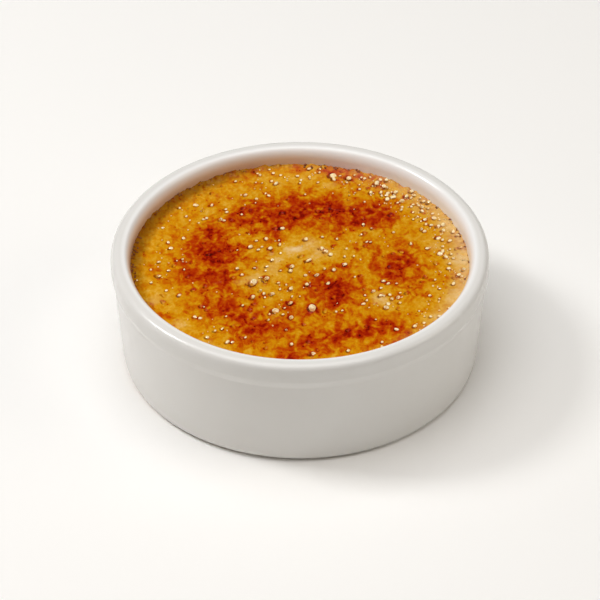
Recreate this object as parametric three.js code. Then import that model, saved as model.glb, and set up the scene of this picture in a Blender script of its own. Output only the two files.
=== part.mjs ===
// Creme brulee: a baked custard with a torched caramel top, in the round porcelain ramekin it is served in.
// Millimetres, +Z up. The origin is the centre of the ramekin's foot, on the table.
import * as THREE from "three";

// ---- Driving dimensions ----

const SEGMENTS = 96; // facets round every turned shape

const rimRadius = 60; // outside of the raised band below the lip, the widest place
const height = 40; // table to the crest of the lip

// Outside of the ramekin, from the table up
const foot = { inner: 47, outer: 52.5, recess: 1.2, slope: 1.6 }; // ring that it stands on, hollow inside it
const base = { radius: 57.4, corner: 3.2 }; // outer wall just above the table, and its rounded lower edge
const neckRadius = 59.25; // outer wall just under the band
const band = { face: 3.7, step: 2.6 }; // upright face of the band, and the height of its step to the wall
const lip = { outerWidth: 2.3, outerHeight: 2.3, innerWidth: 2.4, innerHeight: 4.2 }; // its rounded sides

// Inside of the ramekin
const bore = { mouth: 53.9, floor: 52.6, corner: 6.5, floorLevel: 5.2 };

// Custard
const gap = 0.3; // between custard and porcelain
const custard = {
  level: 33.9, // mean height of the caramel over most of the surface
  climb: 0.7, // how far the edge creeps up the wall
  climbWidth: 4.5, // width of that creeping edge
  rings: 13, // rings of facets across the top
};
const swell = { dome: 0.45, ripple: 0.28 }; // slight dome of the baked top, soft ripples of the melted sugar

// ---- Colours and finishes ----

const glazedPorcelain = new THREE.MeshStandardMaterial({ color: 0xe6e5df, roughness: 0.25, metalness: 0 });
const torchedCaramel = new THREE.MeshStandardMaterial({ color: 0xc9780f, roughness: 0.3, metalness: 0 });

// ---- Profile helpers: a profile is a list of [radius, height] pairs ----

// Points of a quarter of an ellipse about [r, z], without its first point.
function quarter([r, z], width, rise, fromDegrees, toDegrees, steps) {
  const points = [];
  for (let i = 1; i <= steps; i++) {
    const angle = THREE.MathUtils.degToRad(THREE.MathUtils.lerp(fromDegrees, toDegrees, i / steps));
    points.push([r + width * Math.cos(angle), z + rise * Math.sin(angle)]);
  }
  return points;
}

// An S-shaped step from one radius and height to another, without its first point.
function step([r0, z0], [r1, z1], steps) {
  const points = [];
  for (let i = 1; i <= steps; i++) {
    const t = i / steps;
    const inwards = THREE.MathUtils.smoothstep(t, 0, 1);
    points.push([THREE.MathUtils.lerp(r0, r1, inwards), THREE.MathUtils.lerp(z0, z1, t)]);
  }
  return points;
}

// The solid that a closed profile sweeps about the Z axis.
function turned(profile) {
  const points = profile.map(([r, z]) => new THREE.Vector2(r, z));
  return new THREE.LatheGeometry(points, SEGMENTS).rotateX(Math.PI / 2);
}

// ---- Ramekin ----

function ramekinProfile() {
  const bandFoot = height - lip.outerHeight - band.face;
  const stepFoot = bandFoot - band.step;
  const crestInner = bore.mouth + lip.innerWidth;
  const crestOuter = rimRadius - lip.outerWidth;
  const cornerTop = bore.floorLevel + bore.corner;
  return [
    [0, foot.recess],
    [foot.inner - foot.slope, foot.recess],
    [foot.inner, 0],
    [foot.outer, 0],
    [base.radius - base.corner + 0.4 * base.corner, 0.5],
    ...quarter([base.radius - base.corner, base.corner], base.corner, base.corner, -50, 0, 3),
    [neckRadius, stepFoot],
    ...step([neckRadius, stepFoot], [rimRadius, bandFoot], 4),
    [rimRadius, height - lip.outerHeight],
    ...quarter([crestOuter, height - lip.outerHeight], lip.outerWidth, lip.outerHeight, 0, 90, 5),
    ...quarter([crestInner, height - lip.innerHeight], lip.innerWidth, lip.innerHeight, 90, 180, 6),
    [bore.floor, cornerTop],
    ...quarter([bore.floor - bore.corner, cornerTop], bore.corner, bore.corner, 0, -90, 5),
    [0, bore.floorLevel],
  ];
}

function ramekin() {
  const mesh = new THREE.Mesh(turned(ramekinProfile()), glazedPorcelain);
  mesh.name = "ramekin";
  return mesh;
}

// ---- Custard with its caramel top, one piece ----

// Height of the baked surface above its mean level at a place on it.
function surfaceRelief(x, y) {
  const share = Math.hypot(x, y) / bore.mouth;
  const dome = swell.dome * (Math.cos(Math.PI * share) - 0.2) * 0.5;
  const ripple =
    Math.sin(x / 7.3 + 0.8 * Math.sin(y / 9.1)) * Math.cos(y / 6.4 - 0.5 * Math.sin(x / 11.7)) +
    0.5 * Math.sin((x + y) / 4.1 + 1.3);
  const inwards = 1 - THREE.MathUtils.smoothstep(share, 0.85, 1); // ripples die out at the wall
  return dome + swell.ripple * ripple * inwards;
}

function custardProfile() {
  const wall = bore.mouth - gap;
  const floorLevel = bore.floorLevel + gap;
  const floorRadius = bore.floor - gap;
  const cornerTop = bore.floorLevel + bore.corner;
  const edgeLevel = custard.level + custard.climb;
  const atEdge = THREE.MathUtils.mapLinear(edgeLevel, cornerTop, height - lip.innerHeight, floorRadius, wall);
  const profile = [
    [0, floorLevel],
    [bore.floor - bore.corner, floorLevel],
    ...quarter([bore.floor - bore.corner, cornerTop], bore.corner - gap, bore.corner - gap, -90, 0, 4),
    [atEdge, edgeLevel],
  ];
  for (let ring = 1; ring <= custard.rings; ring++) {
    const r = atEdge * (1 - (ring / custard.rings) ** 0.85);
    const creep = Math.max(0, 1 - (atEdge - r) / custard.climbWidth) ** 2;
    profile.push([r, custard.level + custard.climb * creep]);
  }
  return profile;
}

function custardFilling() {
  const geometry = turned(custardProfile());
  const places = geometry.getAttribute("position");
  const lowest = custard.level - 0.01; // only the top lies above this
  for (let i = 0; i < places.count; i++) {
    const [x, y, z] = [places.getX(i), places.getY(i), places.getZ(i)];
    if (z > lowest) places.setZ(i, z + surfaceRelief(x, y));
  }
  const mesh = new THREE.Mesh(geometry, torchedCaramel);
  mesh.name = "custard";
  return mesh;
}

// ---- The whole dessert ----

const cremeBrulee = new THREE.Group();
cremeBrulee.add(ramekin(), custardFilling());

export default cremeBrulee;
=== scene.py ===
"""Creme brulee, torched brown, in its shallow round porcelain ramekin.

Metres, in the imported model's frame: +Z up, the ramekin's foot on the table at the origin, its front at -Y.
The dish is turned from one outline. The custard is a block whose top is worked into the sheet of burnt sugar:
ripples, blisters, burst pits and scorched patches. Blown bubbles, grains and charred crumbs lie on the sugar.
"""
import math

import bpy
import numpy as np
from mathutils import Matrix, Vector, noise


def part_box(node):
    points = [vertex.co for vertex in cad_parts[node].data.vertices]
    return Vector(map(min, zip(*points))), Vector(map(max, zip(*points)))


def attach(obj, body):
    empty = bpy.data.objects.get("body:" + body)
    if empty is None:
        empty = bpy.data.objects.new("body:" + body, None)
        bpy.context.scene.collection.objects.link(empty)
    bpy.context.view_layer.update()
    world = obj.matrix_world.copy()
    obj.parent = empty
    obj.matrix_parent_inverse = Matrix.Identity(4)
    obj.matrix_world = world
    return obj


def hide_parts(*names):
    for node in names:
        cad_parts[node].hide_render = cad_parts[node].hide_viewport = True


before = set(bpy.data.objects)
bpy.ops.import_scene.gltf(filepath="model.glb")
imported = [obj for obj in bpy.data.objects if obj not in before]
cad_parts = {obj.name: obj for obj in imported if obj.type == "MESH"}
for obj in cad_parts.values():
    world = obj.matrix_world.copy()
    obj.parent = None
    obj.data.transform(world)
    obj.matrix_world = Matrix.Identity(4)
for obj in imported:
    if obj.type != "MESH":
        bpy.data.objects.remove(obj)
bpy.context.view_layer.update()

MM = 0.001

# ---- Sizes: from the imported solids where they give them, the rest in millimetres ----

_, dish_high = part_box("ramekin")
custard_low, custard_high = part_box("custard")
RIM_RADIUS = dish_high.x / MM
DISH_HEIGHT = dish_high.z / MM
CUSTARD_RADIUS = custard_high.x / MM  # the plain solid, which keeps clear of the porcelain
CUSTARD_FLOOR = custard_low.z / MM

FOOT_INNER, FOOT_OUTER, FOOT_RECESS = 47.0, 52.5, 1.2
BASE_RADIUS, BASE_CORNER = 57.4, 3.2
NECK_RADIUS = RIM_RADIUS - 0.75  # the wall just under the raised band
BAND_FACE, BAND_STEP = 3.7, 2.6  # upright face of the band, and the height of its step to the wall
LIP_OUTER, LIP_INNER_WIDTH, LIP_INNER_DROP = 2.3, 2.4, 4.2
BORE_MOUTH, BORE_FLOOR, BORE_CORNER, FLOOR_LEVEL = 53.9, 52.6, 6.5, 5.2
DISH_SIDES = 64

CRUST_RADIUS = CUSTARD_RADIUS + 0.5  # the sugar touches the glaze: it reaches just into the wall
CRUST_LEVEL = custard_high.z / MM - 0.43  # mean height of the sugar, below the crest of the plain solid
CRUST_CELLS = 288  # a facet about every third of a millimetre, fine enough for a burst bubble
DOME, SWELLS, ROUGHNESS, BLISTERS = 0.45, 0.28, 0.10, 0.13  # heights of the sugar's unevenness
CREEP_WIDTH = 3.2  # how far from the wall the sugar starts to climb it
PIT_DEPTH, PIT_LIP = 0.55, 0.2  # of a burst bubble, as shares of its radius
LOOSE_RADIUS = 52.8  # nothing strewn by chance lies further out
SMALL_BUBBLES, OPEN_PITS, GRAINS, CRUMBS_A_DRIP = 180, 110, 240, 5  # how many are strewn
FINER, DENTED, SHADE_SPECKED = 0.74, 0.6, 0.8  # past these radii: more facets, may be stove in, holds a dark speck of painted shade

# ---- The sugar sheet, as read off a real one. Places are x, y in millimetres from the middle. ----

# Scorched by the flame: x, y, reach, strength
SCORCHES = [
    (-18, 23, 4.2, 0.80), (-15, 29, 3.6, 0.60), (-8, 25, 4.6, 0.95), (-4, 22, 3.6, 0.90), (-1, 33, 3.4, 0.60),
    (2, 27, 4.4, 0.95), (8, 31, 3.6, 0.85), (12, 27, 4.2, 0.85), (18, 27, 3.6, 0.70), (24, 27.5, 3.8, 1.00),
    (30, 26, 2.8, 0.85), (12, 17, 2.6, 0.60), (17, 22, 3.2, 0.50), (24, 22, 2.6, 0.45), (-10, 17, 2.6, 0.45),
    (-29, 17, 3.6, 0.75), (-29, 10, 4.0, 0.95), (-27, 4, 4.0, 0.95), (-22, 5, 3.2, 0.60),
    (-34, 12, 3.2, 0.45), (-25, -1, 3.6, 0.70), (-35, -5, 3.6, 0.70), (-30, -7, 3.8, 0.75),
    (-24, -8, 3.4, 0.80), (-36, 3, 3.2, 0.45), (-23, -22, 4.0, 1.00), (-29, -21, 3.4, 0.60),
    (-25, -15, 3.2, 0.40), (-17, -27, 3.4, 0.65), (-10, -32, 3.6, 0.95), (-17, -33, 3.6, 0.65),
    (-14, -39, 3.2, 0.45), (-3, -30, 3.0, 0.40), (-3, -45, 3.2, 0.85), (4, -40, 3.8, 0.75),
    (11, -38, 3.6, 0.80), (16, -36, 3.2, 0.60), (21, -33, 3.8, 0.85), (27, -31, 3.4, 0.80),
    (30, -34, 2.8, 0.55), (11, -16.5, 3.2, 2.60), (9, -10, 3.6, 0.75), (5, -13, 3.0, 0.55),
    (16, -12.5, 3.2, 0.70), (3, -24, 2.8, 0.75), (-3, -22, 2.0, 0.40), (32, -1, 4.0, 0.80),
    (30, -7, 3.4, 0.95), (36, 1, 3.4, 0.65), (25, -2, 2.8, 0.35), (28, 6, 3.0, 0.30), (34, 10, 3.2, 0.30),
    (22, 8, 3.0, 0.30), (36, -13, 3.2, 0.35), (15, -1, 1.8, 0.60), (8, 50.5, 1.6, 0.70), (12, 50, 2.0, 0.80),
    (16, 48, 2.0, 0.50), (20, 48, 1.6, 0.70), (12, 46, 1.8, 0.35), (24, 45.5, 1.6, 0.35),
    (-17, 49, 2.0, 0.50), (-1, 51, 1.4, 0.60), (-42, -28, 2.0, 0.40), (-45, -21, 1.4, 0.70),
]
# Hardly coloured, where the sugar lay thick or the flame passed quickly: x, y, reach, strength
PALE = [
    (-2, 7, 3.0, 1.2), (3, 11, 3.4, 0.85), (7, 6, 3.6, 0.80), (-7, 2, 3.6, 0.55), (-9, -3.5, 3.8, 0.70),
    (-15, -8, 3.6, 0.85), (-19, -11, 3.0, 0.50), (-11, -14, 3.4, 0.40), (3, 1, 3.4, 0.60), (14, 3, 3.2, 0.45),
    (19, -3, 3.2, 0.50), (24, -8, 2.8, 0.35), (24, -18, 3.4, 1.00), (28, -21, 2.8, 0.60), (43, 9, 5.0, 0.70),
    (-45, -19, 4.6, 0.80), (-37, -31, 4.4, 0.75), (-28, -40, 3.6, 0.60), (10, 43, 4.0, 0.65),
    (-8, 44, 3.4, 0.55), (2, 46, 3.0, 0.50), (-29, 27, 3.0, 0.55), (-34, 22, 2.8, 0.35), (-37, 14, 2.8, 0.35),
    (48, -16, 5.0, 0.80), (43, -27, 4.4, 0.70), (50, 2, 4.6, 0.90), (47, 20, 4.6, 0.75), (38, 29, 4.4, 0.70),
    (30, 37, 3.6, 0.50), (24, 14, 3.6, 0.35), (37, -35, 3.4, 0.50), (18, -27, 2.8, 0.25),
]
# Painted sheen: pale patches that stand in for glints of light on the sugar: x, y, reach, strength
SHEEN_PATCHES = [
    (-0.9, 7.2, 1.9, 1.1), (2.2, 9.6, 0.9, 0.5), (-5.0, 6.2, 1.2, 0.5), (-9, 4.5, 1.4, 0.5),
    (26, -18, 2.4, 0.5),
]
# Blown and burst bubbles that stand out: x, y, radius
BUBBLES = [
    (-6, 18, 0.95), (-11, 12.5, 0.85), (1.7, 12, 1.10), (-16, 8, 0.85), (-9.7, 7, 0.90), (-6.7, 9.6, 0.70),
    (-13.5, 6.5, 0.55), (-9, 1, 0.85), (-6.3, 5, 0.50), (6.6, 7.2, 0.85), (8, 5.6, 1.00), (9.6, 4.0, 0.90),
    (2.5, 0.7, 1.10), (-3, -2.4, 1.20), (-3.2, -4.6, 0.90), (14, -1, 0.85), (10.6, -3.9, 0.80),
    (-20, -3.3, 0.75), (-18.4, -6.4, 0.70), (-11, -8.8, 1.60), (-15, -11, 1.65), (-7, -10.6, 0.80),
    (5, -7, 0.70), (2, -11.7, 0.75), (-3, -14, 1.00), (-9, -16.5, 1.00), (-15, -18, 1.15), (-18, -22, 0.70),
    (-3.3, -21, 1.10), (-8, -25, 1.35), (3.6, -23.3, 1.60), (-3, -28, 0.90), (-5.5, -26.6, 0.60),
    (11, -25, 0.60), (8.6, -10.8, 0.65), (26, -9.6, 0.70), (27.6, -10.8, 0.60), (25, -17, 0.80),
    (28, -16.6, 0.75), (26.6, -23, 0.95), (31, -20.5, 0.70), (40.7, 7.7, 0.75), (19.6, 14.6, 0.65),
    (7, 13.5, 0.55), (-45, -6.7, 1.05), (-38, -16.5, 0.85), (-42, -14, 0.50), (-41.5, 8, 0.80),
    (-42.5, 11, 0.60), (-45, 0.5, 0.70), (-34, 31, 0.80), (-29, 31, 0.75), (-26, 23, 0.85),
    (-31.5, 23.5, 0.60), (-18, 36.7, 0.85), (-8, 43, 0.90), (-9.5, 44.5, 0.70), (10.4, 47.5, 1.55),
    (15.8, 46, 1.40), (21, 46, 0.90), (25, 43, 1.30), (27.5, 41.5, 0.80), (-28.7, -37.5, 0.80),
    (-32.7, -27.7, 0.75), (-22.5, -40, 0.75), (29.6, -33.7, 0.75), (3.8, -45.4, 1.00), (14.6, -44, 0.75),
    (31, 38, 0.95), (34.5, 35.5, 0.80), (17, 3.2, 0.5), (-24, 27, 0.6), (-19, 26, 0.55), (-37, 25, 0.55),
    (-1, 47.5, 0.7), (3, 47, 0.55), (20.5, 20.0, 0.5),
]
# Where lesser bubbles gather: x, y, reach, strength
GATHERINGS = [
    (-10, 8, 6, 0.8), (-8, -14, 8, 0.8), (-42, 2, 8, 0.9), (-31, 27, 7, 0.9), (-12, 43, 8, 0.9),
    (-32, -34, 8, 0.8), (10, 6, 6, 0.4), (26, -18, 6, 0.9), (24, 15, 6, 0.4), (0, -45, 7, 0.4),
    (6, 47, 6, 0.8),
]
DENT_SIDE = (-0.42, -0.34, 0.84)  # where a blown bubble is stove in, as a direction from its middle
PIT_SHADE_SIDE = math.radians(228)  # the film of a burst bubble clings to the far side; this one is open and painted dark, as painted shade
# Charred drips at the wall, where the sugar caught the flame: angle in degrees, size
CHARRED_EDGE = [
    (173, 1.3), (178, 0.9), (188, 1.3), (191, 0.8), (160, 0.8), (150, 0.7), (143, 0.6), (128, 0.7),
    (118, 0.6), (87, 1.4), (77, 1.2), (73, 0.9), (69, 0.8), (16, 1.0), (19, 0.8), (11, 0.6), (352, 1.1),
    (4, 0.5), (205, 0.6), (24, 0.9), (28, 0.7), (33, 0.8), (38, 0.6), (345, 0.6), (8, 0.8), (0, 0.6),
    (82, 1.0), (169, 0.9), (155, 0.6), (165, 1.0), (175, 1.4), (182, 1.2), (185, 0.9), (194, 0.9), (138, 0.8),
    (133, 0.6), (123, 0.6), (111, 0.7),
]

# ---- Colours, sRGB. A pair is what a surface wanders between. ----

GLAZE = ("#E5E3DF", "#E9E8E5")
# painted light: the inside of the dish is made whiter than its glaze to brighten the inner wall
INSIDE_PAINTED_LIGHT = "#FBFBFA"
BISQUE = ("#CFC6B4", "#D9D2C2")
# painted shade and caramel-coloured painted reflection on the inner wall
PAINTED_BOUNCE_SHADE = "#D49A55"
BURN_COLOURS = [  # from sugar that has only just melted to char
    (0.00, "#E2B66A"), (0.14, "#DAA22C"), (0.28, "#D08E06"), (0.42, "#C67002"), (0.55, "#BB4E00"),
    (0.68, "#AF3200"), (0.80, "#9C1A00"), (0.91, "#7E0C00"), (1.00, "#4E0500"),
]
# pale froth, also used for painted sheen and painted light
FROTH_AND_LIGHT = "#E7C99A"
# painted shadow: the brown of the sugar where the rim shades it
RIM_SHADOW_BROWN = "#8A520A"
BLOWN_SUGAR = ("#FFEDC0", "#F6D594")
# caramel at a bubble's foot, also painted shade on its lower side
BLOWN_FOOT_AND_SHADE = "#C8882C"
GRAIN_SUGAR = ("#FFE9B8", "#EFC980")
# also the painted shade at the open side of each pit
CHAR_AND_PIT_SHADE = "#4A1F04"
CINDERS = ("#4A1A06", "#A0500F")
TABLE = "#FDFCFA"
ROOM = "#FFF6E8"

# ---- Light and camera ----

LIGHTS = [  # name, direction from the dish, metres away, metres across, watts, colour
    ("key_light", (-0.92, 0.18, 1.0), 1.3, 0.32, 6.2, "#FFFFFF"),
    ("top_light", (-0.12, -0.06, 1.0), 1.4, 1.4, 14.9, "#FFFFFF"),
    ("left_front_light", (-0.75, -0.6, 0.6), 1.4, 0.8, 0.5, "#FFC060"),
    ("right_light", (1.0, -0.1, 0.6), 1.4, 0.8, 3.6, "#FFF4E4"),
]
ROOM_STRENGTH = 0.07
CAMERA_ELEVATION = math.radians(38.15)
CAMERA_DISTANCE = 0.9  # metres
CAMERA_AIM = 0.474 * DISH_HEIGHT * MM  # the height on the dish's axis that it looks at
SENSOR_WIDTH, FOCAL_LENGTH = 36, 168.3


# ---- Working by hand ----

def alone(piece):
    """Select this piece and nothing else."""
    bpy.ops.object.select_all(action="DESELECT")
    piece.select_set(True)
    bpy.context.view_layer.objects.active = piece


def added(name):
    """The primitive that was just added, named, with its place moved into its mesh."""
    piece = bpy.context.active_object
    piece.name = name
    piece.data.name = name
    alone(piece)
    bpy.ops.object.transform_apply(location=True, rotation=True, scale=True)
    return piece


def widen(factor, height_factor=1.0, about=(0, 0, 0)):
    """Scale what is selected about a point on the axis."""
    bpy.ops.transform.resize(value=(factor, factor, height_factor), center_override=about)


def refine(piece, levels):
    """Subdivide smoothly, for good."""
    alone(piece)
    smoother = piece.modifiers.new("smooth", "SUBSURF")
    smoother.levels = levels
    smoother.render_levels = levels
    bpy.ops.object.modifier_apply(modifier=smoother.name)


def finished(piece, slot, *nodes):
    """The piece rides with the dish and stands in for these plain solids. The slot is not used."""
    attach(piece, "root")
    if nodes:
        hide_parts(*nodes)
    return piece


# ---- Materials ----

# Sockets whose names aren't unique go by number
VALUE, FROM_LOW, FROM_HIGH, TO_LOW, TO_HIGH = range(5)  # of a Map Range
SHARE, FIRST, SECOND, MIXED = 0, 6, 7, 2  # of a Mix of colours, and what comes out of it
SMOOTH = {"interpolation_type": "SMOOTHSTEP"}
COLOURS = {"data_type": "RGBA"}
MULTIPLY = {"operation": "MULTIPLY"}


def linear(colour):
    """An sRGB hex colour as linear RGBA."""
    parts = [int(colour[i:i + 2], 16) / 255 for i in (1, 3, 5)]
    return [c / 12.92 if c <= 0.04045 else ((c + 0.055) / 1.055) ** 2.4 for c in parts] + [1.0]


def add_node(material, kind, settings=None, links=None):
    """One node in a material: settings are its own values, links go to its inputs as sockets or values."""
    tree = material.node_tree
    made = tree.nodes.new(kind)
    for name, value in (settings or {}).items():
        setattr(made, name, value)
    for name, value in (links or {}).items():
        if isinstance(value, bpy.types.NodeSocket):
            tree.links.new(value, made.inputs[name])
        else:
            made.inputs[name].default_value = value
    return made


def new_material(name, settings):
    """A material with one Principled surface, and that surface."""
    material = bpy.data.materials.new(name)
    material.use_nodes = True
    surface = material.node_tree.nodes["Principled BSDF"]
    for socket, value in settings.items():
        surface.inputs[socket].default_value = value
    return material, surface


def glazed_porcelain():
    """Slip-cast porcelain under a clear gloss glaze: off-white and smooth, with soft highlights that wander.

    Inside, the glaze is painted whiter, as painted light on the inner wall. At the left and back a brown tint
    of painted shade and painted caramel reflection runs up there from the custard's edge.
    """
    material, surface = new_material("glazed_porcelain", {"IOR": 1.5, "Roughness": 0.2})
    place = add_node(material, "ShaderNodeTexCoord").outputs["Object"]
    thickness = add_node(
        material, "ShaderNodeTexNoise", links={"Vector": place, "Scale": 1 / (22 * MM), "Detail": 3.0},
    )
    tone = add_node(
        material, "ShaderNodeMix", COLOURS,
        {SHARE: thickness.outputs["Fac"], FIRST: linear(GLAZE[0]), SECOND: linear(GLAZE[1])},
    )
    # inside, from the lip's crest inwards, the glaze is painted whiter: painted light on the inner wall
    flat = add_node(material, "ShaderNodeVectorMath", MULTIPLY, {0: place, 1: (1.0, 1.0, 0.0)}).outputs[0]
    radius = add_node(material, "ShaderNodeVectorMath", {"operation": "LENGTH"}, {0: flat}).outputs["Value"]
    inside = add_node(
        material, "ShaderNodeMapRange",
        links={VALUE: radius, FROM_LOW: 55.5 * MM, FROM_HIGH: 57.0 * MM, TO_LOW: 1.0, TO_HIGH: 0.0},
    ).outputs[0]
    whitened_inside = add_node(
        material, "ShaderNodeMix", COLOURS,
        {SHARE: inside, FIRST: tone.outputs[MIXED], SECOND: linear(INSIDE_PAINTED_LIGHT)},
    )
    # painted shade and a painted reflection of the caramel: a brown tint from the custard's edge up to the
    # lip, inside at the left and back
    height = add_node(material, "ShaderNodeSeparateXYZ", links={0: place}).outputs["Z"]
    low = add_node(
        material, "ShaderNodeMapRange", SMOOTH,
        {VALUE: height, FROM_LOW: 34.2 * MM, FROM_HIGH: 40.2 * MM, TO_LOW: 0.7, TO_HIGH: 0.0},
    ).outputs[0]
    sideways = add_node(
        material, "ShaderNodeVectorMath", {"operation": "DOT_PRODUCT"}, {0: place, 1: (-0.85, 0.52, 0.0)},
    ).outputs["Value"]
    facing = add_node(
        material, "ShaderNodeMapRange", SMOOTH, {VALUE: sideways, FROM_LOW: 8 * MM, FROM_HIGH: 46 * MM},
    ).outputs[0]
    bounce_share = add_node(material, "ShaderNodeMath", MULTIPLY, {0: low, 1: facing}).outputs[0]
    bounce_share = add_node(material, "ShaderNodeMath", MULTIPLY, {0: bounce_share, 1: inside}).outputs[0]
    bounce_tinted = add_node(
        material, "ShaderNodeMix", COLOURS,
        {SHARE: bounce_share, FIRST: whitened_inside.outputs[MIXED], SECOND: linear(PAINTED_BOUNCE_SHADE)},
    )
    material.node_tree.links.new(bounce_tinted.outputs[MIXED], surface.inputs["Base Color"])
    gloss = add_node(
        material, "ShaderNodeMapRange", links={VALUE: thickness.outputs["Fac"], TO_LOW: 0.17, TO_HIGH: 0.27},
    )
    material.node_tree.links.new(gloss.outputs[0], surface.inputs["Roughness"])
    peel = add_node(
        material, "ShaderNodeTexNoise", links={"Vector": place, "Scale": 1 / (5 * MM), "Detail": 1.0},
    )
    skin = add_node(
        material, "ShaderNodeBump",
        links={"Height": peel.outputs["Fac"], "Strength": 0.06, "Distance": 0.2 * MM},
    )
    material.node_tree.links.new(skin.outputs["Normal"], surface.inputs["Normal"])
    return material


def bare_porcelain():
    """The foot ring, wiped clean of glaze before firing: matte, slightly warmer, with a fine grit."""
    material, surface = new_material("bare_porcelain", {"IOR": 1.5, "Roughness": 0.75})
    place = add_node(material, "ShaderNodeTexCoord").outputs["Object"]
    grit = add_node(
        material, "ShaderNodeTexNoise", links={"Vector": place, "Scale": 1 / (0.5 * MM), "Detail": 3.0},
    )
    tone = add_node(
        material, "ShaderNodeMix", COLOURS,
        {SHARE: grit.outputs["Fac"], FIRST: linear(BISQUE[0]), SECOND: linear(BISQUE[1])},
    )
    material.node_tree.links.new(tone.outputs[MIXED], surface.inputs["Base Color"])
    return material


def torched_caramel():
    """Sugar melted and browned with a torch: a hard sheet, honey-coloured where thin, black-red where burnt.

    The mesh carries how far each place is burnt; how far froth, painted sheen and painted light pale it;
    where painted shadow of the rim darkens it; and where the sugar is charred or painted in shade at a pit's
    open side. Finer mottling is added here.
    """
    material, surface = new_material(
        "torched_caramel",
        {
            "IOR": 1.5, "Roughness": 0.24, "Specular IOR Level": 0.06,
            "Coat Weight": 0.08, "Coat Roughness": 0.06, "Coat IOR": 1.5,
            "Subsurface Weight": 0.06, "Subsurface Radius": (1.0, 0.45, 0.15), "Subsurface Scale": 1.2 * MM,
        },
    )
    tree = material.node_tree
    place = add_node(material, "ShaderNodeTexCoord").outputs["Object"]
    burn = add_node(material, "ShaderNodeAttribute", {"attribute_name": "burn"}).outputs["Fac"]
    froth_and_light = add_node(material, "ShaderNodeAttribute", {"attribute_name": "froth_and_light"}).outputs["Fac"]

    # streaks and flecks of browning, a couple of millimetres across
    drawn = add_node(
        material, "ShaderNodeMapping", links={"Vector": place, "Scale": (1.0, 0.74, 1.0)},
    ).outputs[0]
    flecks = add_node(
        material, "ShaderNodeTexNoise",
        links={"Vector": drawn, "Scale": 1 / (2.8 * MM), "Detail": 2.0, "Roughness": 0.5, "Distortion": 0.7},
    )
    fleck_burn = add_node(
        material, "ShaderNodeMapRange",
        links={VALUE: flecks.outputs["Fac"], FROM_LOW: 0.34, FROM_HIGH: 0.66, TO_LOW: -0.2, TO_HIGH: 0.175},
    ).outputs[0]
    fleck_share = add_node(
        material, "ShaderNodeMapRange", SMOOTH,
        {VALUE: burn, FROM_LOW: 0.15, FROM_HIGH: 0.55, TO_LOW: 0.3, TO_HIGH: 1.0},
    ).outputs[0]
    fleck_part = add_node(material, "ShaderNodeMath", MULTIPLY, {0: fleck_burn, 1: fleck_share}).outputs[0]
    # paler blebs of sugar that boiled up through the burnt patches
    warped = add_node(  # a Mix of vectors has its sockets at other numbers
        material, "ShaderNodeMix", {"data_type": "VECTOR"}, {0: 0.0008, 4: place, 5: flecks.outputs["Color"]},
    ).outputs[1]
    blebs = add_node(
        material, "ShaderNodeTexVoronoi", {"feature": "F1"}, {"Vector": warped, "Scale": 1 / (2.2 * MM)},
    )
    bleb_burn = add_node(
        material, "ShaderNodeMapRange", SMOOTH,
        {VALUE: blebs.outputs["Distance"], FROM_LOW: 0.12, FROM_HIGH: 0.5, TO_LOW: -0.13, TO_HIGH: 0.04},
    ).outputs[0]
    bleb_share = add_node(
        material, "ShaderNodeMapRange", SMOOTH, {VALUE: burn, FROM_LOW: 0.35, FROM_HIGH: 0.75},
    ).outputs[0]
    bleb_part = add_node(material, "ShaderNodeMath", MULTIPLY, {0: bleb_burn, 1: bleb_share}).outputs[0]
    # burnt pinholes, thick on the ground in some places and missing in others
    pinholes = add_node(
        material, "ShaderNodeTexVoronoi", {"feature": "F1"}, {"Vector": warped, "Scale": 1 / (1.7 * MM)},
    )
    hole_burn = add_node(
        material, "ShaderNodeMapRange", SMOOTH,
        {VALUE: pinholes.outputs["Distance"], FROM_LOW: 0.1, FROM_HIGH: 0.26, TO_LOW: 0.3, TO_HIGH: 0.0},
    ).outputs[0]
    hole_share = add_node(
        material, "ShaderNodeMapRange", SMOOTH,
        {VALUE: flecks.outputs["Fac"], FROM_LOW: 0.5, FROM_HIGH: 0.62},
    ).outputs[0]
    hole_part = add_node(material, "ShaderNodeMath", MULTIPLY, {0: hole_burn, 1: hole_share}).outputs[0]
    # specks a millimetre across
    dust = add_node(
        material, "ShaderNodeTexNoise",
        links={"Vector": drawn, "Scale": 1 / (1.0 * MM), "Detail": 2.0, "Roughness": 0.5},
    )
    dust_burn = add_node(
        material, "ShaderNodeMapRange",
        links={VALUE: dust.outputs["Fac"], FROM_LOW: 0.32, FROM_HIGH: 0.68, TO_LOW: -0.075, TO_HIGH: 0.075},
    ).outputs[0]
    total = burn
    for part in (fleck_part, bleb_part, hole_part, dust_burn):
        total = add_node(material, "ShaderNodeMath", {"operation": "ADD"}, {0: total, 1: part}).outputs[0]
    browning = add_node(material, "ShaderNodeValToRGB", links={"Fac": total})
    stops = browning.color_ramp.elements
    while len(stops) < len(BURN_COLOURS):
        stops.new(0.5)
    for stop, (position, colour) in zip(stops, BURN_COLOURS):
        stop.position = position
        stop.color = linear(colour)
    # froth_and_light pales the sugar: real froth, painted sheen, and painted light at the right edge
    tinted = add_node(
        material, "ShaderNodeMix", COLOURS,
        {SHARE: froth_and_light, FIRST: browning.outputs["Color"], SECOND: linear(FROTH_AND_LIGHT)},
    )
    # skin carries painted shadow of the rim on the sugar at the left and back
    skin = add_node(material, "ShaderNodeAttribute", {"attribute_name": "skin"}).outputs["Fac"]
    rim_shaded = add_node(
        material, "ShaderNodeMix", COLOURS, {SHARE: skin, FIRST: tinted.outputs[MIXED], SECOND: linear(RIM_SHADOW_BROWN)},
    )
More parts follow.
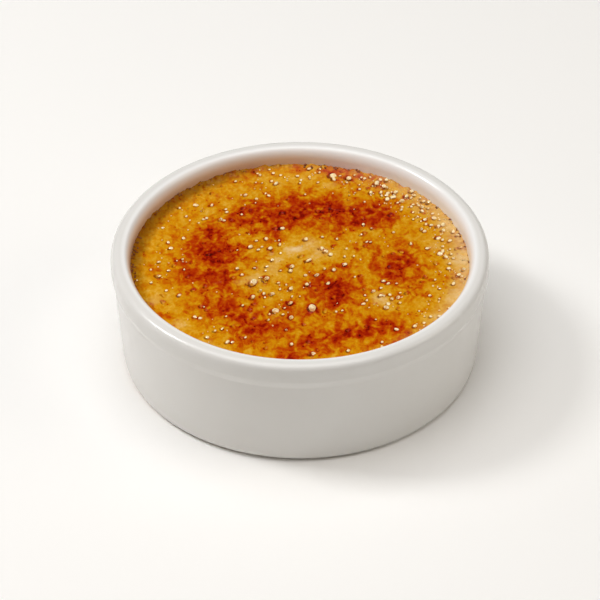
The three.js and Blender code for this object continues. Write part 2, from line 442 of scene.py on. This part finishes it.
    # char carries charred specks at the wall and painted shade at each pit's open side
    char_and_shade = add_node(material, "ShaderNodeAttribute", {"attribute_name": "char_and_shade"}).outputs["Fac"]
    char_shaded = add_node(
        material, "ShaderNodeMix", COLOURS, {SHARE: char_and_shade, FIRST: rim_shaded.outputs[MIXED], SECOND: linear(CHAR_AND_PIT_SHADE)},
    )
    tree.links.new(char_shaded.outputs[MIXED], surface.inputs["Base Color"])

    # pinholes and fine blisters too small for the mesh
    fine = add_node(
        material, "ShaderNodeTexVoronoi", {"feature": "SMOOTH_F1"},
        {"Vector": place, "Scale": 1 / (0.9 * MM)},
    )
    pocked = add_node(
        material, "ShaderNodeBump",
        links={"Height": fine.outputs["Distance"], "Strength": 0.35, "Distance": 0.25 * MM},
    )
    rough = add_node(
        material, "ShaderNodeBump",
        links={
            "Height": dust.outputs["Fac"], "Strength": 0.35, "Distance": 0.2 * MM,
            "Normal": pocked.outputs[0],
        },
    )
    tree.links.new(rough.outputs["Normal"], surface.inputs["Normal"])
    return material


def blown_sugar():
    """Clear sugar blown into a thin bubble by steam: pale, glassy, lit through from inside."""
    material, surface = new_material(
        "blown_sugar",
        {
            "IOR": 1.5, "Roughness": 0.16, "Specular IOR Level": 0.3,
            "Coat Weight": 0.35, "Coat Roughness": 0.05,
            "Subsurface Weight": 0.2, "Subsurface Radius": (1.0, 0.8, 0.5), "Subsurface Scale": 0.5 * MM,
        },
    )
    place = add_node(material, "ShaderNodeTexCoord").outputs["Object"]
    film = add_node(
        material, "ShaderNodeTexNoise", links={"Vector": place, "Scale": 1 / (1.1 * MM), "Detail": 2.0},
    )
    share = add_node(
        material, "ShaderNodeMapRange", links={VALUE: film.outputs["Fac"], FROM_LOW: 0.35, FROM_HIGH: 0.7},
    ).outputs[0]
    tone = add_node(
        material, "ShaderNodeMix", COLOURS,
        {SHARE: share, FIRST: linear(BLOWN_SUGAR[0]), SECOND: linear(BLOWN_SUGAR[1])},
    )
    # pale on top, browner towards the foot where it joins the sheet: caramel through the thicker film, and
    # painted shade on the lower side
    crown = add_node(material, "ShaderNodeAttribute", {"attribute_name": "crown"}).outputs["Fac"]
    thin = add_node(
        material, "ShaderNodeMapRange", SMOOTH, {VALUE: crown, FROM_LOW: -0.25, FROM_HIGH: 0.35},
    ).outputs[0]
    foot_shaded = add_node(
        material, "ShaderNodeMix", COLOURS,
        {SHARE: thin, FIRST: linear(BLOWN_FOOT_AND_SHADE), SECOND: tone.outputs[MIXED]},
    )
    material.node_tree.links.new(foot_shaded.outputs[MIXED], surface.inputs["Base Color"])
    return material


def grain_sugar():
    """Crystals of sugar that never melted: white, sharp-edged, slightly clear."""
    material, surface = new_material(
        "grain_sugar",
        {
            "IOR": 1.54, "Roughness": 0.2, "Specular IOR Level": 0.3,
            "Subsurface Weight": 0.3, "Subsurface Radius": (1.0, 0.9, 0.7), "Subsurface Scale": 0.4 * MM,
        },
    )
    place = add_node(material, "ShaderNodeTexCoord").outputs["Object"]
    melt = add_node(
        material, "ShaderNodeTexNoise", links={"Vector": place, "Scale": 1 / (1.5 * MM), "Detail": 1.0},
    )
    share = add_node(
        material, "ShaderNodeMapRange", links={VALUE: melt.outputs["Fac"], FROM_LOW: 0.35, FROM_HIGH: 0.65},
    ).outputs[0]
    tone = add_node(
        material, "ShaderNodeMix", COLOURS,
        {SHARE: share, FIRST: linear(GRAIN_SUGAR[0]), SECOND: linear(GRAIN_SUGAR[1])},
    )
    material.node_tree.links.new(tone.outputs[MIXED], surface.inputs["Base Color"])
    return material


def charred_sugar():
    """Sugar burnt to carbon: near-black brown, with the crisp shine of cinders."""
    material, surface = new_material("charred_sugar", {"IOR": 1.5, "Roughness": 0.45})
    place = add_node(material, "ShaderNodeTexCoord").outputs["Object"]
    ash = add_node(
        material, "ShaderNodeTexNoise", links={"Vector": place, "Scale": 1 / (0.7 * MM), "Detail": 2.0},
    )
    tone = add_node(
        material, "ShaderNodeMix", COLOURS,
        {SHARE: ash.outputs["Fac"], FIRST: linear(CINDERS[0]), SECOND: linear(CINDERS[1])},
    )
    material.node_tree.links.new(tone.outputs[MIXED], surface.inputs["Base Color"])
    return material


def pale_table():
    """A plain pale laminate top, matte."""
    material, surface = new_material("pale_table", {"Roughness": 0.6, "Specular IOR Level": 0.2})
    surface.inputs["Base Color"].default_value = linear(TABLE)
    return material


# ---- The dish ----

def arc(centre, width, rise, start, end, steps):
    """Points of part of an ellipse about a centre (radius, height), without the first. Angles in degrees."""
    angles = [math.radians(start + (end - start) * i / steps) for i in range(1, steps + 1)]
    return [(centre[0] + width * math.cos(a), centre[1] + rise * math.sin(a)) for a in angles]


def dish_outline():
    """Radius and height of the dish's surface, from under its middle, up the outside and down the inside."""
    band_foot = DISH_HEIGHT - LIP_OUTER - BAND_FACE
    step_foot = band_foot - BAND_STEP
    corner = (BASE_RADIUS - BASE_CORNER, BASE_CORNER)
    outline = [
        (6, FOOT_RECESS), (FOOT_INNER - 3, FOOT_RECESS), (FOOT_INNER - 1.5, FOOT_RECESS - 0.05),
        (FOOT_INNER - 0.9, FOOT_RECESS - 0.5), (FOOT_INNER - 0.3, 0.1), (FOOT_INNER + 0.2, 0),
        (FOOT_INNER + 1.2, 0), (FOOT_OUTER - 1, 0), (FOOT_OUTER, 0), (FOOT_OUTER + 0.8, 0.06),
        (corner[0] + 0.9, 0.2),
    ]
    outline += arc(corner, BASE_CORNER, BASE_CORNER, -55, 0, 5)
    for share in (0.12, 0.3, 0.5, 0.7, 0.9):
        level = BASE_CORNER + (step_foot - BASE_CORNER) * share
        outline.append((BASE_RADIUS + (NECK_RADIUS - BASE_RADIUS) * share, level))
    outline += [
        (NECK_RADIUS - 0.02, step_foot - 0.35), (NECK_RADIUS + 0.04, step_foot + 0.2),
        (NECK_RADIUS + 0.22, step_foot + 0.30 * BAND_STEP), (RIM_RADIUS - 0.22, step_foot + 0.72 * BAND_STEP),
        (RIM_RADIUS - 0.04, band_foot - 0.15), (RIM_RADIUS, band_foot + 0.5),
        (RIM_RADIUS, band_foot + BAND_FACE / 2), (RIM_RADIUS, DISH_HEIGHT - LIP_OUTER - 0.3),
    ]
    outline += arc((RIM_RADIUS - LIP_OUTER, DISH_HEIGHT - LIP_OUTER), LIP_OUTER, LIP_OUTER, 8, 90, 7)
    bore_top = DISH_HEIGHT - LIP_INNER_DROP
    outline += arc((BORE_MOUTH + LIP_INNER_WIDTH, bore_top), LIP_INNER_WIDTH, LIP_INNER_DROP, 88, 180, 8)
    bore_foot = FLOOR_LEVEL + BORE_CORNER
    for share in (0.15, 0.4, 0.7, 0.97):
        level = bore_top + (bore_foot - bore_top) * share
        outline.append((BORE_MOUTH + (BORE_FLOOR - BORE_MOUTH) * share, level))
    outline += arc((BORE_FLOOR - BORE_CORNER, bore_foot), BORE_CORNER, BORE_CORNER, -8, -90, 6)
    outline += [(38, FLOOR_LEVEL), (6, FLOOR_LEVEL)]
    return outline


def turned_dish():
    """A disc drawn up like clay on a wheel: its flat cap is extruded and resized along the outline."""
    outline = [(radius * MM, height * MM) for radius, height in dish_outline()]
    radius, height = outline[0]
    bpy.ops.object.select_all(action="DESELECT")
    bpy.ops.mesh.primitive_circle_add(
        vertices=DISH_SIDES, radius=radius, fill_type="NGON", location=(0, 0, height),
    )
    dish = added("glazed_ramekin")
    bpy.ops.object.mode_set(mode="EDIT")
    bpy.ops.mesh.select_all(action="SELECT")
    for next_radius, next_height in outline[1:]:
        bpy.ops.mesh.extrude_region_move(TRANSFORM_OT_translate={"value": (0, 0, next_height - height)})
        widen(next_radius / radius)
        radius, height = next_radius, next_height
    bpy.ops.mesh.select_all(action="SELECT")
    bpy.ops.mesh.normals_make_consistent(inside=False)
    bpy.ops.object.mode_set(mode="OBJECT")
    refine(dish, 2)
    bpy.ops.object.shade_smooth_by_angle(angle=math.radians(50))

    dish.data.materials.append(glazed_porcelain())
    dish.data.materials.append(bare_porcelain())
    for face in dish.data.polygons:
        on_table = face.center.z < 0.12 * MM and face.normal.z < -0.9
        if on_table and face.center.xy.length > FOOT_INNER * MM:
            face.material_index = 1
    return finished(dish, "glazed_porcelain", "ramekin")


# ---- The sugar sheet ----

def cloud(x, y, size, seed, octaves=1):
    """Smooth random values, about -1 to 1, at these places; size is a swelling's width in millimetres."""
    spots = zip((x / size).tolist(), (y / size).tolist())
    return np.array([noise.fractal(Vector((u, v, seed)), 1.0, 2.0, octaves) for u, v in spots])


def blisters(x, y, size, seed):
    """Rounded cells that butt together, 0 in the seams and 1 on the crowns."""
    spots = zip((x / size).tolist(), (y / size).tolist())
    nearest = np.array([noise.voronoi(Vector((u, v, seed)))[0][:2] for u, v in spots])
    return np.clip((nearest[:, 1] - nearest[:, 0]) * 2.2, 0, 1)


def patches(x, y, spots):
    """How strongly a list of soft round patches covers these places."""
    total = np.zeros_like(x)
    for px, py, reach, strength in spots:
        total += strength * np.exp(-((x - px) ** 2 + (y - py) ** 2) / reach ** 2)
    return total


def bubble_shape(x, y, bubble):
    """For the places near a bubble, and which those are: distance, 1 at its uneven edge, and direction."""
    bx, by, radius = bubble
    near = np.flatnonzero((np.abs(x - bx) < 2.6 * radius) & (np.abs(y - by) < 2.6 * radius))
    dx, dy = x[near] - bx, y[near] - by
    turn = np.arctan2(dy, dx)
    uneven = 1 + 0.16 * np.sin(2 * turn + 3 * bx) + 0.10 * np.sin(3 * turn + 5 * by)
    return np.hypot(dx, dy) / (radius * uneven), turn, near


def relief(x, y, pits):
    """Height of the sugar above its mean level, in millimetres."""
    share = np.hypot(x, y) / BORE_MOUTH
    calm = 1 - np.clip((share - 0.85) / 0.15, 0, 1) ** 2  # the swells die out at the wall
    boiled = 0.35 + 0.65 * np.clip(patches(x, y, SCORCHES), 0, 1)
    height = DOME * (np.cos(np.pi * share) - 0.2) * 0.5
    height += SWELLS * calm * cloud(x, y, 9.0, 3.1, 2)
    height += ROUGHNESS * cloud(x, y, 2.6, 7.7, 3)
    height += BLISTERS * (blisters(x, y, 2.6, 1.3) - 0.5) * boiled
    creep = np.clip(1 - (CRUST_RADIUS - np.hypot(x, y)) / CREEP_WIDTH, 0, 1) ** 2
    height += creep * (0.8 + 0.7 * left_side(x, y) + 0.8 * cloud(x, y, 2.2, 5.5, 3))
    for pit in pits:
        away, _, near = bubble_shape(x, y, pit)
        bowl = -PIT_DEPTH * pit[2] * np.clip(1 - away ** 2, 0, 1)
        lip = PIT_LIP * pit[2] * np.exp(-((away - 1.08) / 0.22) ** 2)
        height[near] += bowl + lip
    return height


def burnt(x, y, pits):
    """How far the sugar is burnt, from 0, just melted, to 1, char."""
    stray_x = x + 2.4 * cloud(x, y, 6.0, 21.0, 2) + 0.8 * cloud(x, y, 1.7, 22.0, 2)
    stray_y = y + 2.0 * cloud(x, y, 6.0, 23.0, 2) + 0.7 * cloud(x, y, 1.7, 24.0, 2)
    scorch = patches(stray_x, stray_y, SCORCHES)
    pale = patches(stray_x, stray_y, PALE)
    wider = [(px, py, 2.2 * reach, 0.5 * strength) for px, py, reach, strength in SCORCHES]
    halo = patches(stray_x, stray_y, wider)
    burn = 0.28 + 0.10 * cloud(x, y, 5.0, 31.0, 3) - 0.21 * np.clip(pale, 0, 1.2)
    burn += 0.27 * (1 - np.exp(-1.4 * halo)) + 0.31 * (1 - np.exp(-1.1 * scorch))
    burn += 0.2 * edge_specks(x, y)
    for pit in pits:
        away, _, near = bubble_shape(x, y, pit)
        burn[near] += 0.2 * np.exp(-((away - 0.95) / 0.28) ** 2)
    return np.clip(burn, 0, 1)


def left_side(x, y):
    """1 along the left and back left, 0 elsewhere."""
    return np.exp(-(((np.degrees(np.arctan2(y, x)) % 360 - 150) / 42) ** 4))


def edge_specks(x, y):
    """Burnt specks along the wall, thickest at the left and back left, from 0 to 1."""
    from_wall = CRUST_RADIUS - np.hypot(x, y)
    reach = 1.6 + 2.2 * left_side(x, y)
    strength = 0.45 + 0.55 * left_side(x, y)
    specks = np.clip(2.6 * (cloud(x, y, 1.4, 61.0, 2) - 0.08), 0, 1)
    return strength * specks * np.exp(-((from_wall / reach) ** 2))


def charred_and_pit_shade(x, y, pits):
    """How far the sugar is darkened: burnt to brown carbon in specks at the wall, and painted shade at the
    open side of each pit.
    """
    char_and_shade = 0.75 * edge_specks(x, y)
    for pit in pits:
        away, turn, near = bubble_shape(x, y, pit)
        # the open side of each pit is painted dark: painted shade
        side = np.clip(np.cos(turn - PIT_SHADE_SIDE), 0, 1) ** 0.7
        char_and_shade[near] += 0.95 * np.exp(-((away - 0.7) / 0.34) ** 2) * side
    return np.clip(char_and_shade, 0, 0.92)


def painted_rim_shadow(x, y):
    """How far the sugar is darkened by painted shadow of the rim, near the wall at the left and back."""
    from_wall = CRUST_RADIUS - np.hypot(x, y) + 1.6 * cloud(x, y, 3.0, 51.0, 3)
    return left_side(x, y) * np.clip(1.1 - from_wall / 5.5, 0, 0.8) * (1 - edge_specks(x, y))


def paled_by_froth_and_light(x, y):
    """How much the sugar is paled, from 0 to 1: by fine froth, by painted sheen, and at the right edge by
    froth and painted light.
    """
    stray_x = x + 1.6 * cloud(x, y, 4.0, 41.0, 2)
    stray_y = y + 1.6 * cloud(x, y, 4.0, 43.0, 2)
    froth_and_light = 0.6 * np.clip(patches(stray_x, stray_y, PALE) - 0.45, 0, 1)
    # painted sheen, laid into the pale froth colour
    sheen = patches(0.65 * x + 0.35 * stray_x, 0.65 * y + 0.35 * stray_y, SHEEN_PATCHES)
    froth_and_light += 0.6 * np.clip(3 * (sheen - 0.3), 0, 1) * (0.6 + 0.4 * np.clip(sheen, 0, 1))
    # paler towards the right wall: froth there, and painted light
    turn = np.degrees(np.arctan2(y, x))
    right = np.exp(-((turn - 2) / 55) ** 2)
    froth_and_light += 0.6 * right * np.clip((np.hypot(x, y) - 46.5) / 6, 0, 1) ** 1.5
    return np.clip(froth_and_light, 0, 1) * (0.7 + 0.5 * cloud(x, y, 1.6, 47.0, 2))


def scattered(count, densities, clearance, seed):
    """Random places on the sugar, more where densities(x, y) is high, none within clearance of another."""
    draw = np.random.default_rng(seed)
    kept = []
    while len(kept) < count:
        angle = draw.uniform(0, 2 * math.pi)
        radius = LOOSE_RADIUS * math.sqrt(draw.uniform())
        x, y = radius * math.cos(angle), radius * math.sin(angle)
        if draw.uniform() > densities(x, y):
            continue
        if all((x - px) ** 2 + (y - py) ** 2 > clearance ** 2 for px, py in kept):
            kept.append((x, y))
    return kept


def froth_density(x, y):
    """How thickly small bubbles lie: they crowd at the right and back edge, and few are on burnt patches."""
    radius, turn = math.hypot(x, y), math.degrees(math.atan2(y, x))
    edge = min(max((radius - 41) / 6, 0), 1)
    back_right = math.exp(-((turn - 42) / 36) ** 2)
    right = math.exp(-((turn + 5) / 40) ** 2)
    gathered = float(patches(x, y, GATHERINGS))
    calm = 1 - 0.85 * min(float(patches(x, y, SCORCHES)), 1)
    return calm * (0.04 + 1.3 * edge * back_right + 0.5 * edge * right + 0.3 * gathered)


def small_bubbles():
    """The lesser bubbles, scattered."""
    draw = np.random.default_rng(5)
    bubbles = []
    for x, y in scattered(SMALL_BUBBLES, froth_density, 1.25, 11):
        swollen = 1 + 0.4 * min(froth_density(x, y), 1)
        bubbles.append((x, y, float(draw.uniform(0.35, 0.7) * swollen)))
    return bubbles


def open_pits():
    """Bubbles that burst and left nothing but a shallow pit, most of them where the sugar is burnt."""
    def density(x, y):
        return 0.25 + 0.75 * min(float(patches(x, y, SCORCHES)), 1)

    draw = np.random.default_rng(53)
    places = scattered(OPEN_PITS, density, 2.2, 59)
    return [(x, y, float(draw.uniform(0.4, 0.95))) for x, y in places]


def caramel_custard(pits):
    """A square net drawn out to a disc, worked into the sugar's relief and drawn down to the dish's floor."""
    bpy.ops.object.select_all(action="DESELECT")
    bpy.ops.mesh.primitive_grid_add(x_subdivisions=CRUST_CELLS, y_subdivisions=CRUST_CELLS, size=2)
    custard = added("caramel_custard")
    mesh = custard.data
    corners = np.empty(len(mesh.vertices) * 3)
    mesh.vertices.foreach_get("co", corners)
    corners = corners.reshape(-1, 3)
    u, v = corners[:, 0].copy(), corners[:, 1].copy()
    x = CRUST_RADIUS * u * np.sqrt(1 - v * v / 2)
    y = CRUST_RADIUS * v * np.sqrt(1 - u * u / 2)
    corners[:, 0], corners[:, 1] = x * MM, y * MM
    corners[:, 2] = (CRUST_LEVEL + relief(x, y, pits)) * MM
    mesh.vertices.foreach_set("co", corners.ravel())
    looks = {
        "burn": burnt(x, y, pits),
        "froth_and_light": paled_by_froth_and_light(x, y),
        # skin: painted shadow of the rim
        "skin": painted_rim_shadow(x, y),
        "char_and_shade": charred_and_pit_shade(x, y, pits),
    }
    for name, values in looks.items():
        mesh.attributes.new(name, "FLOAT", "POINT").data.foreach_set("value", values.astype(np.float32))

    alone(custard)
    bpy.ops.object.mode_set(mode="EDIT")
    bpy.ops.mesh.select_all(action="SELECT")
    bpy.ops.mesh.region_to_loop()
    sides = [
        (CRUST_RADIUS - 0.9, CRUST_LEVEL - 3), (BORE_FLOOR - 0.3, CUSTARD_FLOOR + BORE_CORNER),
        (BORE_FLOOR - 5, CUSTARD_FLOOR),
    ]
    radius = CRUST_RADIUS
    for next_radius, next_height in sides:
        bpy.ops.mesh.extrude_region_move(TRANSFORM_OT_translate={"value": (0, 0, -1 * MM)})
        widen(next_radius / radius, 0, (0, 0, next_height * MM))
        radius = next_radius
    bpy.ops.mesh.edge_face_add()
    bpy.ops.mesh.select_all(action="SELECT")
    bpy.ops.mesh.normals_make_consistent(inside=False)
    bpy.ops.object.mode_set(mode="OBJECT")
    bpy.ops.object.shade_smooth_by_angle(angle=math.radians(60))
    mesh.materials.append(torched_caramel())
    return finished(custard, "torched_caramel", "custard")


# ---- Loose things on the sugar ----

def shell_of(piece):
    """Corners and faces of a modelled piece, which is then put away."""
    corners = np.array([v.co for v in piece.data.vertices])
    faces = [tuple(f.vertices) for f in piece.data.polygons]
    bpy.data.objects.remove(piece)
    return corners, faces


def strewn(name, placings, material, slot):
    """One piece made of many copies of small patterns, each with its own corners.

    A placing is a pattern, a place, three half sizes and three turns, in millimetres and radians, and how
    deeply the copy is stove in, as a share of its size. No two copies are lumpy in the same way.
    The attribute crown says how high each corner is in its own copy, -1 at the bottom and 1 at the top.
    """
    stove_in = np.array(DENT_SIDE)
    all_corners, all_faces, crowns, start = [], [], [], 0
    draw = np.random.default_rng(len(placings))
    for (corners, faces), place, sizes, turns, dent in placings:
        ways = draw.standard_normal((3, 3))
        lumps = 1 + 0.13 * (corners @ ways[0]) * (corners @ ways[1]) + 0.12 * (corners @ ways[2])
        shape = corners * np.clip(lumps, 0.6, 1.5)[:, None]
        hollow = dent * np.clip((corners @ stove_in - 0.5) / 0.4, 0, 1)
        shape = (shape - hollow[:, None] * stove_in) * np.array(sizes)
        for axis, turn in enumerate(turns):
            a, b = (axis + 1) % 3, (axis + 2) % 3
            sa, sb = shape[:, a].copy(), shape[:, b].copy()
            shape[:, a] = sa * math.cos(turn) - sb * math.sin(turn)
            shape[:, b] = sa * math.sin(turn) + sb * math.cos(turn)
        all_corners.append((shape + np.array(place)) * MM)
        crowns.append(shape[:, 2] / np.abs(shape[:, 2]).max())
        all_faces += [tuple(start + i for i in face) for face in faces]
        start += len(corners)
    mesh = bpy.data.meshes.new(name)
    mesh.from_pydata(np.vstack(all_corners).tolist(), [], all_faces)
    mesh.validate()
    crown = mesh.attributes.new("crown", "FLOAT", "POINT").data
    crown.foreach_set("value", np.concatenate(crowns).astype(np.float32))
    piece = bpy.data.objects.new(name, mesh)
    bpy.context.scene.collection.objects.link(piece)
    alone(piece)
    bpy.ops.object.shade_smooth_by_angle(angle=math.radians(35))
    mesh.materials.append(material)
    return finished(piece, slot)


def bead_pattern(fineness):
    """A small rounded lump, of 80 faces at a fineness of 2 and 320 at 3."""
    bpy.ops.object.select_all(action="DESELECT")
    bpy.ops.mesh.primitive_ico_sphere_add(subdivisions=fineness, radius=1)
    return shell_of(added("bead"))


def crystal_pattern():
    """A sugar crystal: a block with its edges broken."""
    bpy.ops.object.select_all(action="DESELECT")
    bpy.ops.mesh.primitive_cube_add(size=2)
    crystal = added("crystal")
    bpy.ops.object.mode_set(mode="EDIT")
    bpy.ops.mesh.select_all(action="SELECT")
    bpy.ops.mesh.bevel(offset=0.45, segments=1, affect="EDGES")
    bpy.ops.object.mode_set(mode="OBJECT")
    return shell_of(crystal)


def level_at(places, pits):
    """Height of the sugar at a list of places, in millimetres."""
    spots = np.array(places)
    return CRUST_LEVEL + relief(spots[:, 0], spots[:, 1], pits)


def blown_bubbles(bubbles, pits):
    """What is left of each bubble: a pale lump of film that clings to the far right wall of its pit."""
    draw = np.random.default_rng(17)
    plain, fine = bead_pattern(2), bead_pattern(3)
    places = [(x + 0.28 * r, y + 0.36 * r) for x, y, r in bubbles]
    placings = []
    for (x, y), level, (_, _, radius) in zip(places, level_at(places, pits), bubbles):
        size = radius * draw.uniform(0.64, 0.88) * (1 - 0.22 * max(radius - 1, 0))
        sizes = [size * draw.uniform(low, high) for low, high in ((0.8, 1.3), (0.8, 1.2), (0.45, 0.65))]
        turns = [draw.uniform(low, high) for low, high in ((0.0, 0.5), (-0.5, 0.1), (-0.6, 0.6))]
        dent = draw.uniform(0.5, 0.85) if draw.uniform() < 0.4 and radius > DENTED else 0.0
        pattern = fine if radius > FINER else plain
        placings.append((pattern, (x, y, level + 0.42 * radius), sizes, turns, dent))
    return strewn("blown_bubbles", placings, blown_sugar(), "torched_caramel")


def sugar_grains(pits):
    """Grains that stayed white, most of them in the froth at the right and back edge."""
    draw = np.random.default_rng(29)
    crystal = crystal_pattern()
    places = scattered(GRAINS, froth_density, 0.7, 31)
    placings = []
    for (x, y), level in zip(places, level_at(places, pits)):
        sizes = draw.uniform(0.12, 0.25, 3)
        placings.append((crystal, (x, y, level + 0.5 * sizes[2]), sizes, draw.uniform(0, math.pi, 3), 0.0))
    return strewn("sugar_grains", placings, grain_sugar(), "torched_caramel")


def cinders_and_pit_shade(bubbles, pits):
    """Cinders where the sugar ran up against the hot wall, and a dark speck at the open side of each large
    pit as painted shade.
    """
    draw = np.random.default_rng(37)
    places, sizes = [], []
    for degrees, size in CHARRED_EDGE:
        for _ in range(CRUMBS_A_DRIP):
            angle = math.radians(degrees + draw.uniform(-1.4, 1.4) * size)
            radius = CRUST_RADIUS - draw.uniform(0.2, 1.4) * size
            places.append((radius * math.cos(angle), radius * math.sin(angle)))
            sizes.append(size * draw.uniform(0.2, 0.42))
    # a dark speck at each large pit's open, shaded side: painted shade
    for x, y, radius in bubbles:
        if radius > SHADE_SPECKED:
            places.append((x - 0.45 * radius, y - 0.4 * radius))
            sizes.append(0.3 * radius)
    bead = bead_pattern(2)
    placings = []
    for (x, y), level, size in zip(places, level_at(places, pits), sizes):
        squash = draw.uniform(0.7, 1.2, 3) * (1, 1, 0.6)
        placings.append((bead, (x, y, level + 0.1 * size), size * squash, draw.uniform(-0.5, 0.5, 3), 0.0))
    return strewn("cinders_and_pit_shade", placings, charred_sugar(), "torched_caramel")


# ---- Staging ----

def table_top():
    """What the dish stands on."""
    bpy.ops.object.select_all(action="DESELECT")
    bpy.ops.mesh.primitive_plane_add(size=8)
    table = added("table_top")
    table.data.materials.append(pale_table())


def soft_light(name, towards, distance, size, watts, colour):
    """A square diffuser that faces the dish from a direction."""
    place = Vector(towards).normalized() * distance + Vector((0, 0, DISH_HEIGHT * MM))
    bpy.ops.object.light_add(type="AREA", location=place)
    lamp = bpy.context.active_object
    lamp.name = name
    lamp.rotation_euler = Vector(towards).to_track_quat("Z", "Y").to_euler()
    lamp.data.shape = "SQUARE"
    lamp.data.size = size
    lamp.data.energy = watts
    lamp.data.color = linear(colour)[:3]


def studio():
    """A wide diffuser overhead, a small key at the left that casts the shadow, warm fills, and a dim room."""
    for light in LIGHTS:
        soft_light(*light)
    world = bpy.context.scene.world or bpy.data.worlds.new("studio")
    bpy.context.scene.world = world
    world.use_nodes = True
    background = world.node_tree.nodes["Background"]
    background.inputs["Color"].default_value = linear(ROOM)
    background.inputs["Strength"].default_value = ROOM_STRENGTH
    bpy.context.scene.view_settings.view_transform = "Standard"


def front_camera():
    """Looks down on the dish from the front."""
    back, up = CAMERA_DISTANCE * math.cos(CAMERA_ELEVATION), CAMERA_DISTANCE * math.sin(CAMERA_ELEVATION)
    bpy.ops.object.camera_add(
        location=(0, -back, CAMERA_AIM + up), rotation=(math.pi / 2 - CAMERA_ELEVATION, 0, 0),
    )
    camera = bpy.context.active_object
    camera.name = "front_camera"
    camera.data.sensor_width = SENSOR_WIDTH
    camera.data.lens = FOCAL_LENGTH
    bpy.context.scene.camera = camera


front_camera()
studio()
table_top()
turned_dish()
bubbles = BUBBLES + small_bubbles()
pits = bubbles + open_pits()
caramel_custard(pits)
blown_bubbles(bubbles, pits)
sugar_grains(pits)
cinders_and_pit_shade(bubbles, pits)
